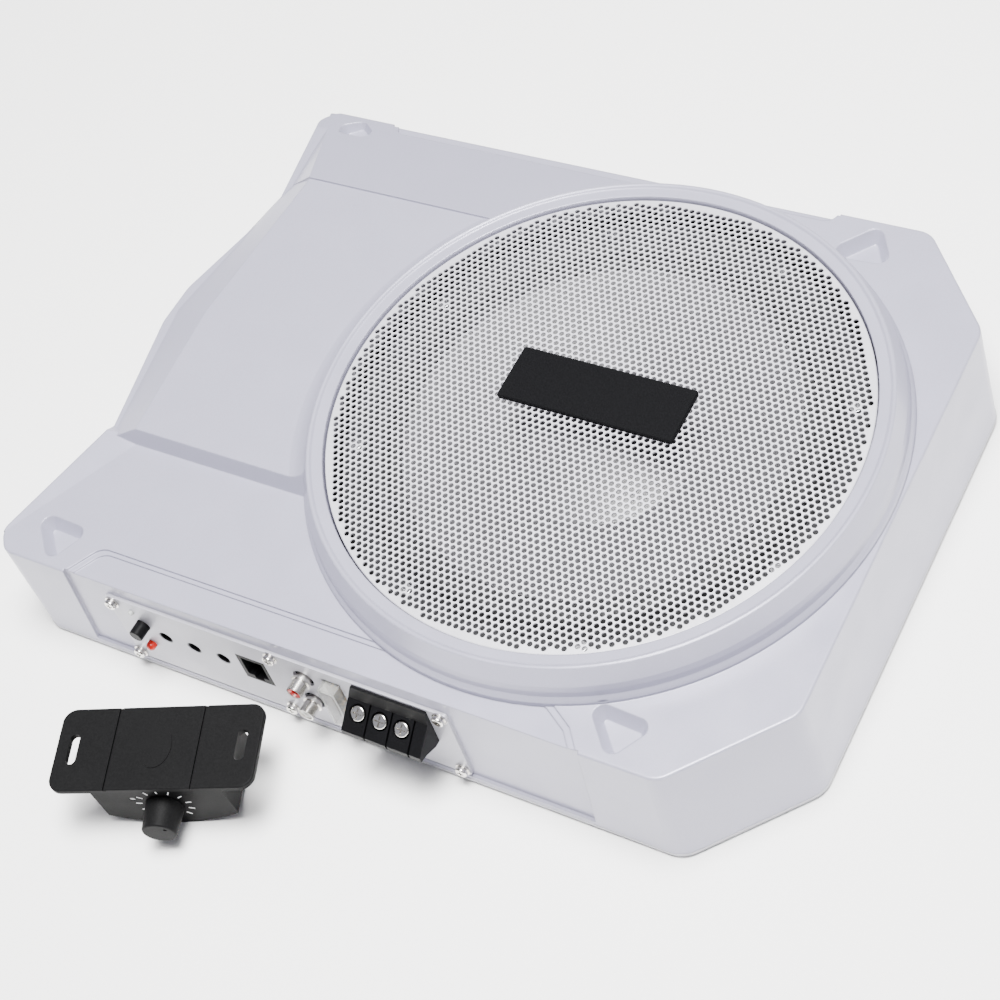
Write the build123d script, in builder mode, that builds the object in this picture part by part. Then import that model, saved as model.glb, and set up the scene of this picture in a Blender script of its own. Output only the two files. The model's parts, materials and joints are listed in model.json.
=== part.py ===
"""Powered car subwoofer: low silver enclosure, ten inch woofer, amplifier, wired level control.

Frame: millimetres, +Z up, +X to the right along the control panel side, +Y to the back.
The origin is on the floor under the middle of the enclosure.
"""
from build123d import *
from math import atan, cos, degrees, radians, sin, tan
import os

os.makedirs("parts", exist_ok=True)

# ---------------------------------------------------------------- driving dimensions
DECK_Z = 70.0            # outer deck of the enclosure
PLATFORM_Z = 79.5        # raised amplifier platform
FOOT_H = 1.5             # how far the rubber feet hold the base off the floor
BASE_T = 2.5             # base plate
SHELL_Z = FOOT_H + BASE_T
HALF_DEPTH = 157.6       # half the enclosure's depth at deck level
FLARE = 3.5              # how far the walls lean out from deck level down to the floor
DRAFT = degrees(atan(FLARE / DECK_Z))
WALL = 4.0
EDGE_R = 1.2             # small round on the outer edges

WOOFER_X = 60.0          # the woofer's axis stands at this x, y = 0
GRILLE_R = 131.6
RING_IN_R = 132.4        # inside of the ring that frames the grille
RING_OUT_R = 147.3
RING_Z = 90.0            # crest of the ring
SWEEP_IN_R = 141.4       # the ring's hollow sweep into the platform, inner and outer radius
SWEEP_OUT_R = 156.0
BAFFLE_R = 113.0         # opening that the basket hangs in

STEP_TOP_Y = -76.0       # front step of the platform, at its top
STEP_FOOT_Y = -79.8      # and a millimetre under the deck
LIP_H = 2.8              # lip that the step runs out into, along the left of the deck
LIP_W = 17.3             # over this width it rises to its full height
LIP_START = (-208.4, -149.7)
LIP_TURN = radians(60.57)  # direction of the line it rises from
LIP_LENGTH = 86.0
RECESS = 1.6             # set-back of the control face and of the strip above it
PANEL_T = 1.6
PANEL_X = (-141.0, 57.0)
PANEL_S = (8.0, 60.0)    # heights along the sloping face
POT_X = (-112.0, -94.4, -76.6)
POT_S = 37.0
POT_HOLE_R = 4.0

WOOFER_PLANE = Plane(origin=(WOOFER_X, 0, 0), x_dir=(1, 0, 0), z_dir=(0, -1, 0))
WOOFER_AXIS = Axis((WOOFER_X, 0, 0), (0, 0, 1))
SLOPE = radians(DRAFT)
FACE = Plane(
    origin=(0, -(HALF_DEPTH + FLARE - RECESS), 0),
    x_dir=(1, 0, 0),
    z_dir=(0, -cos(SLOPE), sin(SLOPE)),
)                        # set-back front face: x along the enclosure, y up it, z outwards

BACK_FACE = Plane(
    origin=(0, HALF_DEPTH + FLARE - RECESS, 0),
    x_dir=(-1, 0, 0),
    z_dir=(0, cos(SLOPE), sin(SLOPE)),
)                        # the same at the back; its x runs the other way

# enclosure outline at deck level: corner, corner radius
OUTLINE = (
    ((-208.8, -148.0), 9), ((-201.0, -HALF_DEPTH), 9), ((164.0, -HALF_DEPTH), 12),
    ((208.5, -107.5), 12), ((208.5, 107.5), 12), ((164.0, HALF_DEPTH), 12),
    ((-186.0, HALF_DEPTH), 6), ((-191.6, 149.0), 8), ((-182.0, 84.0), 12),
    ((-200.3, 19.0), 22), ((-201.0, -5.0), 22), ((-187.5, -76.5), 12),
)
# corner pockets in the deck: a flat side towards the middle, a point towards the outside
POCKETS = (
    ((-198.0, -130.5), (-161.5, -132.0), (-173.8, -156.0)),
    ((116.5, -130.5), (154.0, -132.5), (139.5, -156.0)),
    ((116.5, 130.5), (154.0, 132.5), (139.5, 156.0)),
    ((-188.5, 141.5), (-146.5, 141.5), (-166.0, 157.5)),
)
POCKET_DEPTH = 7.0
POCKET_WALL = 4.0        # how far a pocket's soft wall runs in from its rim


def finish(builder, label):
    """Name a finished piece and write it."""
    builder.part.label = label
    export_step(builder.part, f"parts/{label}.step")


def rounded_outline(corners, grow=0.0):
    """A closed outline with a radius at each corner, grown or shrunk by a distance."""
    with BuildSketch() as outline:
        with BuildLine():
            Polyline(*[point for point, _ in corners], close=True)
        make_face()
        for point, radius in corners:
            spot = Vector(point[0], point[1], 0)
            fillet(outline.vertices().sort_by_distance(spot)[0], radius)
        if grow:
            offset(amount=grow)
    return outline.sketch


def turned(points):
    """The section of a piece turned about the woofer's axis, as radius and height pairs."""
    with BuildSketch(WOOFER_PLANE) as section:
        Polygon(*points, align=None)
    return section.sketch


def dome_middle(edge_r, edge_z, top_z):
    """The point half way along a round dome's section, its centre on the woofer's axis."""
    rise = top_z - edge_z
    radius = (edge_r ** 2 + rise ** 2) / (2 * rise)
    return edge_r / 2, top_z - radius + (radius ** 2 - edge_r ** 2 / 4) ** 0.5


def around_woofer(radius, count, start=0.0):
    """Places on a circle about the woofer's axis."""
    return [
        (WOOFER_X + radius * cos(radians(start + 360 * i / count)),
         radius * sin(radians(start + 360 * i / count)))
        for i in range(count)
    ]


def level(height):
    return Plane.XY.offset(height)


def face_at(x, s, out=0.0):
    """A point on the control face, at a distance outside it."""
    return FACE.from_local_coords(Vector(x, s, out))


# ================================================================ enclosure
SHELL_FLARE = (DECK_Z - SHELL_Z) * tan(SLOPE)
BASE_FLARE = DECK_Z * tan(SLOPE)

BASE_SCREW_SPOTS = [
    (-198, -140), (-151, -149), (75, -149), (155, -149), (199, -70),
    (199, 70), (155, 149), (20, 149), (-95, 149), (-181, 142),
]
BOSS_R = 4.6
BASE_HEAD_R = 3.2
BASE_HEAD_H = 1.4
FEET = ((-165, -136), (-163, 136), (178, -100), (178, 100))
FOOT_R = 9.0
FOOT_STEM_R = 2.4
BASE_SCREW_R = 1.6
INSERT_X = 165.0         # threaded inserts under the base, for a bracket or a strap plate
INSERT_Y = 115.0
INSERT_R = 2.1           # M5 tapping radius
INSERT_L = 12.0
PANEL_SCREWS = ((-137, 56), (-138.5, 12), (-41, 57), (-43.5, 12), (53, 57), (53, 12))
PANEL_SCREW_R = 1.4
BASKET_SCREWS = around_woofer(120.5, 8, 22.5)
BASKET_SCREW_R = 1.8
INSERTS = [(x, y) for x in (-INSERT_X, INSERT_X) for y in (-INSERT_Y, INSERT_Y)]

STEP_LEAN = (STEP_TOP_Y - STEP_FOOT_Y) / (PLATFORM_Z - DECK_Z + 1)

with BuildPart() as ring_sweep:
    with BuildSketch(WOOFER_PLANE):
        with BuildLine():
            Polyline((SWEEP_OUT_R, PLATFORM_Z), (SWEEP_OUT_R, DECK_Z - 2), (138, DECK_Z - 2),
                     (138, RING_Z - 3), (SWEEP_IN_R, RING_Z - 3))
            ThreePointArc((SWEEP_IN_R, RING_Z - 3), (146.4, 81.6), (SWEEP_OUT_R, PLATFORM_Z))
        make_face()
    revolve(axis=WOOFER_AXIS)
    # only where the platform meets the ring, ending in the platform's own front step
    with BuildSketch(Plane.YZ.offset(-200)):
        Polygon((STEP_FOOT_Y - STEP_LEAN, DECK_Z - 2),
                (STEP_TOP_Y + STEP_LEAN * (RING_Z - PLATFORM_Z), RING_Z),
                (99.5, RING_Z), (99.5, DECK_Z - 2), align=None)
    extrude(amount=200 + WOOFER_X, mode=Mode.INTERSECT)

with BuildPart() as deck_lip:
    with BuildSketch(level(DECK_Z - 1.5)):
        add(rounded_outline(OUTLINE, 1.5 * tan(SLOPE)))
    extrude(amount=LIP_H + 3, taper=DRAFT)
    # under a plane that rises from a slanting line on the deck out to the left edge
    slant = (cos(LIP_TURN), sin(LIP_TURN))
    with BuildSketch(Plane(origin=(*LIP_START, 0), x_dir=(-slant[1], slant[0], 0),
                           z_dir=(slant[0], slant[1], 0))):
        Polygon((0, DECK_Z - 1.5), (30, DECK_Z - 1.5), (30, DECK_Z + 30 * LIP_H / LIP_W),
                (0, DECK_Z), align=None)
    extrude(amount=LIP_LENGTH, mode=Mode.INTERSECT)
    # its back end falls to the foot of the platform's side
    with BuildSketch(Plane.YZ.offset(-210)):
        Polygon((-160, DECK_Z - 1.5), (-71.5, DECK_Z - 1.5), (-81, DECK_Z + 5), (-160, DECK_Z + 5),
                align=None)
    extrude(amount=60, mode=Mode.INTERSECT)

with BuildPart() as top_shell:
    # outer block with leaning walls
    with BuildSketch(level(SHELL_Z)):
        add(rounded_outline(OUTLINE, SHELL_FLARE))
    extrude(amount=DECK_Z - SHELL_Z, taper=DRAFT)
    fillet(top_shell.faces().sort_by(Axis.Z)[-1].edges(), EDGE_R)

    # raised platform over the amplifier, its left side in two shallow facets
    with BuildSketch(level(DECK_Z - 1)):
        Polygon((-186.2, STEP_FOOT_Y), (-199.0, 5.0), (-181.5, 100.5), (-40, 100.5),
                (-40, STEP_FOOT_Y), align=None)
    with BuildSketch(level(PLATFORM_Z)):
        Polygon((-167.0, STEP_TOP_Y), (-172.4, 1.0), (-165.0, 99.5), (-40, 99.5),
                (-40, STEP_TOP_Y), align=None)
    loft(ruled=True)

    # back zone: stands a little proud of the platform and falls to the back edge
    BACK_RIDGE_Z = PLATFORM_Z + 1.2
    BACK_EDGE_Z = 66.5
    with BuildSketch(Plane(origin=(0, 99.5, 0), x_dir=(1, 0, 0), z_dir=(0, -1, 0))):
        Polygon((-183.0, 66), (-183.0, 68), (-165.0, BACK_RIDGE_Z), (40, BACK_RIDGE_Z), (40, 66),
                align=None)
    with BuildSketch(Plane(origin=(0, 156.5, 0), x_dir=(1, 0, 0), z_dir=(0, -1, 0))):
        Polygon((-190.2, 60), (-190.2, BACK_EDGE_Z - 0.6), (-188.0, BACK_EDGE_Z), (40, BACK_EDGE_Z),
                (40, 60), align=None)
    loft(ruled=True)
    back_fall = (BACK_RIDGE_Z - BACK_EDGE_Z) / (156.5 - 99.5)
    with BuildSketch(Plane(origin=(-196, 0, 0), x_dir=(0, 1, 0), z_dir=(1, 0, 0))):
        deck_meets = 99.5 + (BACK_RIDGE_Z - DECK_Z) / back_fall
        Polygon((deck_meets, DECK_Z), (170, DECK_Z - back_fall * (170 - deck_meets)),
                (170, DECK_Z + 6), (deck_meets, DECK_Z + 6), align=None)
    extrude(amount=196 + 45, mode=Mode.SUBTRACT)

    # strip let into the front of the deck, in two fine steps
    for inset, depth in ((0.0, 0.9), (2.2, RECESS)):
        with BuildSketch(level(DECK_Z - depth)) as strip:
            with BuildLine():
                Polyline((-162 + inset, -158 - inset), (-150 + inset, -139 - inset),
                         (104 - inset, -139 - inset), (117 - inset, -147 - inset),
                         (126 - inset, -158 - inset), (126 - inset, -170),
                         (-162 + inset, -170), close=True)
            make_face()
            soft = strip.vertices().group_by(Axis.Y)[-1]
            fillet(soft, 9)
        extrude(amount=4, mode=Mode.SUBTRACT)
    # the same strip at the back, between the two back ears
    with BuildSketch(level(DECK_Z - RECESS - 2.6)) as back_strip:
        Polygon((-147, 170), (-143, 151), (114, 151), (122, 170), align=None)
        fillet(back_strip.vertices().group_by(Axis.Y)[0], 6)
    extrude(amount=10, mode=Mode.SUBTRACT)
    with BuildSketch(BACK_FACE):
        Polygon((-122, 7), (155, 7), (147, 76), (-117, 76), align=None)
    extrude(amount=6, mode=Mode.SUBTRACT)

    # control face set back from the front wall, with a ledge under it
    with BuildSketch(FACE) as set_back:
        Polygon((-170, 7), (122, 7), (126.5, 76), (-161.5, 76), align=None)
    extrude(amount=6, mode=Mode.SUBTRACT)

    # ring that frames the grille
    revolve(turned((
        (BAFFLE_R + 12, DECK_Z - WALL), (BAFFLE_R + 12, DECK_Z), (RING_IN_R, DECK_Z),
        (RING_IN_R, RING_Z - 1.6), (137.6, RING_Z - 1.2), (138.6, RING_Z - 0.2),
        (139.4, RING_Z), (140.3, RING_Z - 0.4), (144.2, 80.6), (145.0, 77.5),
        (145.4, 74.2), (146.6, 72.6), (RING_OUT_R, 71.4), (RING_OUT_R, DECK_Z - WALL),
    )), axis=WOOFER_AXIS)

    # the ring runs out into the platform in a wide hollow sweep, the step into the lip
    add(ring_sweep.part)
    add(deck_lip.part)

    # corner pockets
    for pocket in POCKETS:
        with BuildSketch(level(DECK_Z - POCKET_DEPTH)) as floor:
            Polygon(*pocket, align=None)
            offset(amount=-POCKET_WALL, kind=Kind.INTERSECTION)
            fillet(floor.vertices(), 1.2)
        extrude(amount=POCKET_DEPTH + 2, taper=-degrees(atan(POCKET_WALL / POCKET_DEPTH)),
                mode=Mode.SUBTRACT)

    # inside: room under the deck and under the platform
    with BuildSketch(level(SHELL_Z)):
        add(rounded_outline(OUTLINE, SHELL_FLARE - WALL))
    extrude(amount=DECK_Z - WALL - POCKET_DEPTH - SHELL_Z, taper=DRAFT, mode=Mode.SUBTRACT)
    with BuildSketch(level(DECK_Z - WALL - POCKET_DEPTH - 1)):
        Rectangle(200, 240)
        with Locations((-100, 0)):
            Rectangle(130, 240)
        with Locations((WOOFER_X, 0)):
            Circle(RING_OUT_R - WALL)
        with Locations((120, 0)):
            Rectangle(140, 210)
    extrude(amount=POCKET_DEPTH + 1, mode=Mode.SUBTRACT)
    with BuildSketch(level(DECK_Z - WALL - 1)):
        Polygon((-165, -72), (-167, 1), (-160, 96), (-72, 96), (-86, 0), (-72, -72), align=None)
    extrude(amount=PLATFORM_Z - DECK_Z + 2, mode=Mode.SUBTRACT)

    # woofer opening and the seat of the basket
    with Locations((WOOFER_X, 0, DECK_Z - 20)):
        Cylinder(BAFFLE_R, 60, align=(Align.CENTER, Align.CENTER, Align.MIN),
                 mode=Mode.SUBTRACT)
    with Locations((WOOFER_X, 0, DECK_Z)):
        Cylinder(RING_IN_R, 40, align=(Align.CENTER, Align.CENTER, Align.MIN),
                 mode=Mode.SUBTRACT)

    # control opening in the front wall
    with BuildSketch(FACE.offset(-12)):
        with Locations(((PANEL_X[0] + PANEL_X[1]) / 2, 35)):
            Rectangle(184, 38)
    extrude(amount=20, mode=Mode.SUBTRACT)

    # holes for the panel screws and the basket screws
    with BuildSketch(FACE):
        with Locations(*PANEL_SCREWS):
            Circle(PANEL_SCREW_R)
    extrude(amount=-WALL, both=True, mode=Mode.SUBTRACT)
    with BuildSketch(level(DECK_Z)):
        with Locations(*BASKET_SCREWS):
            Circle(BASKET_SCREW_R)
    extrude(amount=-WALL - 2, mode=Mode.SUBTRACT)

    # bosses for the base screws
    with BuildSketch(level(SHELL_Z)):
        with Locations(*BASE_SCREW_SPOTS):
            Circle(BOSS_R)
    extrude(amount=DECK_Z - WALL - POCKET_DEPTH + 1 - SHELL_Z)
    with BuildSketch(level(SHELL_Z)):
        with Locations(*BASE_SCREW_SPOTS):
            Circle(BASE_SCREW_R)
    extrude(amount=14, mode=Mode.SUBTRACT)
finish(top_shell, "top_shell")

with BuildPart() as base_plate:
    with BuildSketch(level(FOOT_H)):
        add(rounded_outline(OUTLINE, BASE_FLARE))
    extrude(amount=BASE_T)
    chamfer(base_plate.faces().sort_by(Axis.Z)[0].edges(), 0.6)
    # sockets for the threaded inserts
    with BuildSketch(level(SHELL_Z)):
        with Locations(*INSERTS):
            Circle(INSERT_R + 4.0)
    extrude(amount=INSERT_L - BASE_T)
    with BuildSketch(level(FOOT_H)):
        with Locations(*INSERTS):
            Circle(INSERT_R + 1.2)
    extrude(amount=INSERT_L, mode=Mode.SUBTRACT)
    with Locations(*[(x, y, SHELL_Z) for x, y in FEET]):
        Hole(FOOT_STEM_R, depth=BASE_T)
    with BuildSketch(level(FOOT_H)):
        with Locations(*BASE_SCREW_SPOTS):
            Circle(BASE_SCREW_R)
    extrude(amount=BASE_T, mode=Mode.SUBTRACT)
    with BuildSketch(level(FOOT_H)):
        with Locations(*BASE_SCREW_SPOTS):
            Circle(BASE_HEAD_R + 0.2)
    extrude(amount=BASE_HEAD_H, mode=Mode.SUBTRACT)
finish(base_plate, "base_plate")

with BuildPart() as rubber_feet:
    with BuildSketch():
        with Locations(*FEET):
            Circle(FOOT_R)
    extrude(amount=FOOT_H)
    fillet(rubber_feet.edges().filter_by(GeomType.CIRCLE).group_by(Axis.Z)[0], 0.5)
    with BuildSketch(level(FOOT_H)):
        with Locations(*FEET):
            Circle(FOOT_STEM_R)
    extrude(amount=BASE_T)
finish(rubber_feet, "rubber_feet")

with BuildPart() as base_screws:
    with BuildSketch(level(FOOT_H)):
        with Locations(*BASE_SCREW_SPOTS):
            Circle(BASE_HEAD_R)
    extrude(amount=BASE_HEAD_H)
    with BuildSketch(level(FOOT_H + BASE_HEAD_H)):
        with Locations(*BASE_SCREW_SPOTS):
            Circle(BASE_SCREW_R)
    extrude(amount=12)
    with BuildSketch(level(FOOT_H)):
        with Locations(*BASE_SCREW_SPOTS):
            Rectangle(3.2, 0.8)
            Rectangle(0.8, 3.2)
    extrude(amount=0.9, mode=Mode.SUBTRACT)
finish(base_screws, "base_screws")

with BuildPart() as threaded_inserts:
    with BuildSketch(level(FOOT_H)):
        with Locations(*INSERTS):
            Circle(INSERT_R + 1.2)
            Circle(INSERT_R, mode=Mode.SUBTRACT)
    extrude(amount=INSERT_L)
finish(threaded_inserts, "threaded_inserts")

# ================================================================ grille and badge
GRILLE_SEAT_Z = 79.0
with BuildPart() as grille_gasket:
    revolve(turned(((127.2, DECK_Z), (GRILLE_R, DECK_Z), (GRILLE_R, GRILLE_SEAT_Z),
                    (127.2, GRILLE_SEAT_Z))), axis=WOOFER_AXIS)
finish(grille_gasket, "grille_gasket")

GRILLE_EDGE_Z = 86.6
GRILLE_CROWN_Z = 89.4
SHEET = 1.2
with BuildPart() as grille:
    with BuildSketch(WOOFER_PLANE) as sheet:
        with BuildLine():
            Polyline((0, GRILLE_CROWN_Z - SHEET), (0, GRILLE_CROWN_Z))
            ThreePointArc((0, GRILLE_CROWN_Z), dome_middle(129.4, GRILLE_EDGE_Z, GRILLE_CROWN_Z),
                          (129.4, GRILLE_EDGE_Z))
            Polyline((129.4, GRILLE_EDGE_Z), (131, GRILLE_EDGE_Z - 0.5), (GRILLE_R, GRILLE_EDGE_Z - 1.6),
                     (GRILLE_R, GRILLE_SEAT_Z), (GRILLE_R - SHEET, GRILLE_SEAT_Z),
                     (GRILLE_R - SHEET, GRILLE_EDGE_Z - 1.9), (129, GRILLE_EDGE_Z - SHEET))
            ThreePointArc((129, GRILLE_EDGE_Z - SHEET),
                          dome_middle(129, GRILLE_EDGE_Z - SHEET, GRILLE_CROWN_Z - SHEET),
                          (0, GRILLE_CROWN_Z - SHEET))
        make_face()
    revolve(axis=WOOFER_AXIS)
finish(grille, "grille")

BADGE = (93.0, 30.6, 2.2)
with BuildPart() as badge:
    with BuildSketch(level(GRILLE_CROWN_Z)):
        with Locations((WOOFER_X - 1.0, 7.2)):
            RectangleRounded(BADGE[0], BADGE[1], 1.5)
    extrude(amount=BADGE[2])
    chamfer(badge.faces().sort_by(Axis.Z)[-1].edges(), 0.5)
finish(badge, "badge")

# ================================================================ woofer
GASKET_T = 1.0
FLANGE_Z = DECK_Z + GASKET_T
FLANGE_T = 2.0
SURROUND_Z = FLANGE_Z + FLANGE_T
FORMER_R = 37.5
COIL_R = 38.8
PLATE_BOTTOM_Z = 28.0
PLATE_TOP_Z = 34.0
MAGNET_BOTTOM_Z = 12.0
YOKE_BOTTOM_Z = 6.0

with BuildPart() as basket_gasket:
    revolve(turned(((114, DECK_Z), (127, DECK_Z), (127, FLANGE_Z), (114, FLANGE_Z))),
            axis=WOOFER_AXIS)
    with BuildSketch(level(DECK_Z)):
        with Locations(*BASKET_SCREWS):
            Circle(BASKET_SCREW_R)
    extrude(amount=GASKET_T, mode=Mode.SUBTRACT)
finish(basket_gasket, "basket_gasket")

SPOKES = 6
with BuildPart() as woofer_basket:
    revolve(turned(((105, FLANGE_Z - 1.2), (109, FLANGE_Z - 4), (109, 60), (111.5, 60),
                    (111.5, FLANGE_Z), (127, FLANGE_Z), (127, SURROUND_Z), (105, SURROUND_Z))),
            axis=WOOFER_AXIS)
    revolve(turned(((75, 44.5), (86, 44.5), (86, 46.5), (75, 46.5))), axis=WOOFER_AXIS)
    revolve(turned(((42, PLATE_TOP_Z), (66, PLATE_TOP_Z), (66, 36), (42, 36))), axis=WOOFER_AXIS)
    for i in range(SPOKES):
        turn = radians(360 / SPOKES * i)
        with BuildSketch(Plane(origin=(WOOFER_X, 0, 0), x_dir=(cos(turn), sin(turn), 0),
                               z_dir=(sin(turn), -cos(turn), 0))):
            Polygon((110.5, 60.5), (110.5, 66), (107, 66), (85, 46), (62, 35.9),
                    (62, PLATE_TOP_Z), (66, PLATE_TOP_Z), (87, 44.5), align=None)
        extrude(amount=7, both=True)
    with BuildSketch(level(FLANGE_Z)):
        with Locations(*BASKET_SCREWS):
            Circle(BASKET_SCREW_R)
    extrude(amount=FLANGE_T, mode=Mode.SUBTRACT)
finish(woofer_basket, "woofer_basket")

with BuildPart() as basket_screws:
    with BuildSketch(level(SURROUND_Z)):
        with Locations(*BASKET_SCREWS):
            Circle(3.4)
    extrude(amount=2.2)
    fillet(basket_screws.faces().group_by(Axis.Z)[-1].edges(), 0.8)
    with BuildSketch(level(SURROUND_Z)):
        with Locations(*BASKET_SCREWS):
            Circle(BASKET_SCREW_R)
    extrude(amount=-(SURROUND_Z - DECK_Z + WALL + 1))
    with BuildSketch(level(SURROUND_Z + 2.2)):
        with Locations(*BASKET_SCREWS):
            Rectangle(3.6, 0.8)
            Rectangle(0.8, 3.6)
    extrude(amount=-1.1, mode=Mode.SUBTRACT)
finish(basket_screws, "basket_screws")

with BuildPart() as motor_top_plate:
    revolve(turned(((39.7, PLATE_BOTTOM_Z), (62, PLATE_BOTTOM_Z), (62, PLATE_TOP_Z),
                    (39.7, PLATE_TOP_Z))), axis=WOOFER_AXIS)
finish(motor_top_plate, "motor_top_plate")

with BuildPart() as magnet:
    revolve(turned(((43, MAGNET_BOTTOM_Z), (70, MAGNET_BOTTOM_Z), (70, PLATE_BOTTOM_Z),
                    (43, PLATE_BOTTOM_Z))), axis=WOOFER_AXIS)
    chamfer(magnet.edges().filter_by(GeomType.CIRCLE).sort_by(SortBy.RADIUS)[-2:], 1.2)
finish(magnet, "magnet")

with BuildPart() as pole_yoke:
    revolve(turned(((8, YOKE_BOTTOM_Z), (62, YOKE_BOTTOM_Z), (62, MAGNET_BOTTOM_Z),
                    (35.8, MAGNET_BOTTOM_Z), (35.8, PLATE_TOP_Z), (8, PLATE_TOP_Z))),
            axis=WOOFER_AXIS)
finish(pole_yoke, "pole_yoke")

with BuildPart() as coil_former:
    revolve(turned(((FORMER_R - 0.4, 20.5), (FORMER_R, 20.5), (FORMER_R, 58.5),
                    (FORMER_R - 0.4, 58.5))), axis=WOOFER_AXIS)
finish(coil_former, "coil_former")

with BuildPart() as voice_coil:
    revolve(turned(((FORMER_R, 24), (COIL_R, 24), (COIL_R, 38), (FORMER_R, 38))),
            axis=WOOFER_AXIS)
finish(voice_coil, "voice_coil")

CONE_NECK_Z = 56.0
CONE_RIM_R = 101.0
CONE_RIM_Z = 73.2
with BuildPart() as cone:
    revolve(turned(((FORMER_R, CONE_NECK_Z - 1.2), (FORMER_R, CONE_NECK_Z + 1.2),
                    (96, CONE_RIM_Z + 1), (CONE_RIM_R, CONE_RIM_Z + 1),
                    (CONE_RIM_R, CONE_RIM_Z), (96.4, CONE_RIM_Z), (41, CONE_NECK_Z - 0.1))),
            axis=WOOFER_AXIS)
finish(cone, "cone")

CAP_R = 46.0
CAP_EDGE_Z = 59.8
CAP_TOP_Z = 69.0
with BuildPart() as dust_cap:
    with BuildSketch(WOOFER_PLANE) as cap_section:
        with BuildLine():
            ThreePointArc((CAP_R, CAP_EDGE_Z), dome_middle(CAP_R, CAP_EDGE_Z, CAP_TOP_Z),
                          (0, CAP_TOP_Z))
            Polyline((0, CAP_TOP_Z), (0, CAP_TOP_Z - 1))
            ThreePointArc((0, CAP_TOP_Z - 1), dome_middle(CAP_R - 2, CAP_EDGE_Z, CAP_TOP_Z - 1),
                          (CAP_R - 2, CAP_EDGE_Z))
            Polyline((CAP_R - 2, CAP_EDGE_Z), (CAP_R, CAP_EDGE_Z))
        make_face()
    revolve(axis=WOOFER_AXIS)
finish(dust_cap, "dust_cap")

ROLL_IN_R = 102.4
ROLL_OUT_R = 112.4
ROLL_H = 6.5
with BuildPart() as surround:
    with BuildSketch(WOOFER_PLANE) as roll_section:
        with BuildLine():
            middle = (ROLL_IN_R + ROLL_OUT_R) / 2
            low = CONE_RIM_Z + 1.0
            Polyline((ROLL_OUT_R, low), (115.8, low), (115.8, low - 1.2),
                     (ROLL_OUT_R - 0.9, low - 1.2))
            Polyline((ROLL_OUT_R - 0.9, low - 1.2), (ROLL_OUT_R - 0.9, low))
            ThreePointArc((ROLL_OUT_R - 0.9, low), (middle, low + ROLL_H - 0.9),
                          (ROLL_IN_R + 0.9, low))
            Polyline((ROLL_IN_R + 0.9, low), (97, low), (97, low + 0.9), (ROLL_IN_R, low + 0.9))
            ThreePointArc((ROLL_IN_R, low + 0.9), (middle, low + ROLL_H + 0.4),
                          (ROLL_OUT_R, low))
        make_face()
    revolve(axis=WOOFER_AXIS)
finish(surround, "surround")

SPIDER_Z = 46.5
SPIDER_T = 0.8
with BuildPart() as spider:
    with BuildSketch(WOOFER_PLANE) as corrugation:
        with BuildLine():
            WAVES = 5
            WAVE_IN = 43.0
            WAVE_STEP = (74.0 - WAVE_IN) / WAVES
            upper = [(FORMER_R, SPIDER_Z + SPIDER_T), (WAVE_IN, SPIDER_Z + SPIDER_T)]
            for i in range(WAVES):
                upper.append((WAVE_IN + (i + 0.25) * WAVE_STEP, SPIDER_Z + SPIDER_T + 1.6))
                upper.append((WAVE_IN + (i + 0.75) * WAVE_STEP, SPIDER_Z + SPIDER_T - 1.6))
            upper += [(74.6, SPIDER_Z + SPIDER_T), (84, SPIDER_Z + SPIDER_T)]
            lower = [(r, z - SPIDER_T) for r, z in reversed(upper)]
            Polyline(*upper, *lower, close=True)
        make_face()
    revolve(axis=WOOFER_AXIS)
finish(spider, "spider")

TAG_TURN = radians(210)
TAG_Z = 58.4
TAG_PLANE = Plane(origin=(WOOFER_X, 0, TAG_Z), x_dir=(cos(TAG_TURN), sin(TAG_TURN), 0),
                  z_dir=(0, 0, 1))
with BuildPart() as speaker_terminals:
    with BuildSketch(TAG_PLANE):
        with Locations((109, 0)):
            Rectangle(8, 30)
    extrude(amount=1.6)
    with BuildSketch(TAG_PLANE):
        with Locations((109, -9), (109, 9)):
            Rectangle(0.8, 6.3)
    extrude(amount=-8)
finish(speaker_terminals, "speaker_terminals")

# ================================================================ control panel
BOARD_OUT = -8.0         # front of the panel board, behind the face
RCA_X = -25.5
RCA_S = (47.0, 28.0)
RCA_R = 4.15
PORT = (-57.5, 37.0, 17.0, 20.0)         # remote port: centre x, s, width, height
INPUT = (-8.2, 37.0, 10.5, 33.0)         # high level input: centre x, s, width, height
PHASE = (-124.0, 42.0)
PHASE_R = 3.7
POWER_LED = (-127.0, 52.0)
PROTECT_LED = (-125.5, 25.0)
TERMINAL_X = (2.6, 46.0)
TERMINAL_S = (33.0, 58.5)
TERMINAL_WINDOW = (22.0, 44.0)           # centre of the block's window in the panel
WAYS = (9.4, 21.5, 33.5)
WAY_SLOTS = (15.2, 27.3, 39.4)
SHAFT_R = 3.0


OUTWARDS = Axis(FACE.origin, FACE.z_dir)


def face_block(x, s, width, height, low, high):
    """A block standing on the control face, from one distance outside it to another."""
    with BuildPart() as block:
        with BuildSketch(FACE.offset(low)):
            with Locations((x, s)):
                Rectangle(width, height)
        extrude(amount=high - low)
    return block.part


def face_rod(spots, radius, low, high):
    """Round rods square to the control face."""
    with BuildPart() as rods:
        with BuildSketch(FACE.offset(low)):
            with Locations(*spots):
                Circle(radius)
        extrude(amount=high - low)
    return rods.part


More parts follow.
